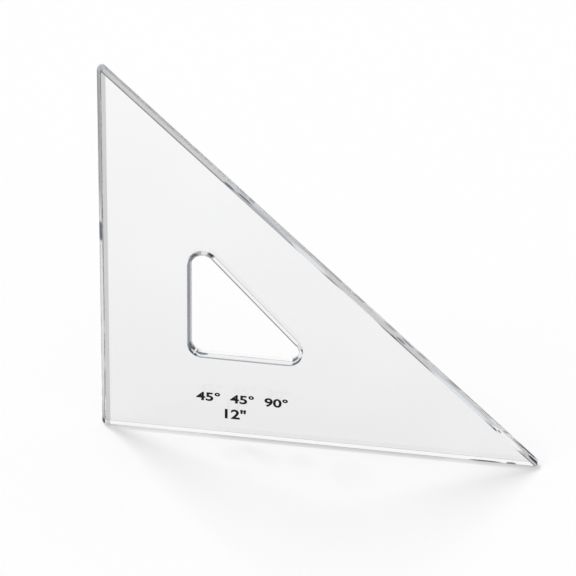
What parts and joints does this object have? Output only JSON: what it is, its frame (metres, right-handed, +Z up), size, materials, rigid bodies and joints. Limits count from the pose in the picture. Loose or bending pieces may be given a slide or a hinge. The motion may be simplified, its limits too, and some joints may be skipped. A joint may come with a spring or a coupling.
{
  "type": "drafting triangle",
  "caption": "Clear acrylic 45/45/90 drafting triangle with polished bevelled edges and a rounded triangular finger cut-out.",
  "frame": {"origin": "under the middle of the base edge, at the middle of the sheet's thickness", "axes": "+Z up along the upright leg, +X along the base leg from the square corner to the tip, -Y out of the front face"},
  "size_m": [0.3048, 0.008, 0.3048],
  "materials": {
    "clear_acrylic": "clear, polished on both faces and all edges",
    "printed_ink": "thin black screen print"
  },
  "bodies": {
    "root": {"acrylic_sheet": "clear_acrylic"}
  },
  "joints": []
}
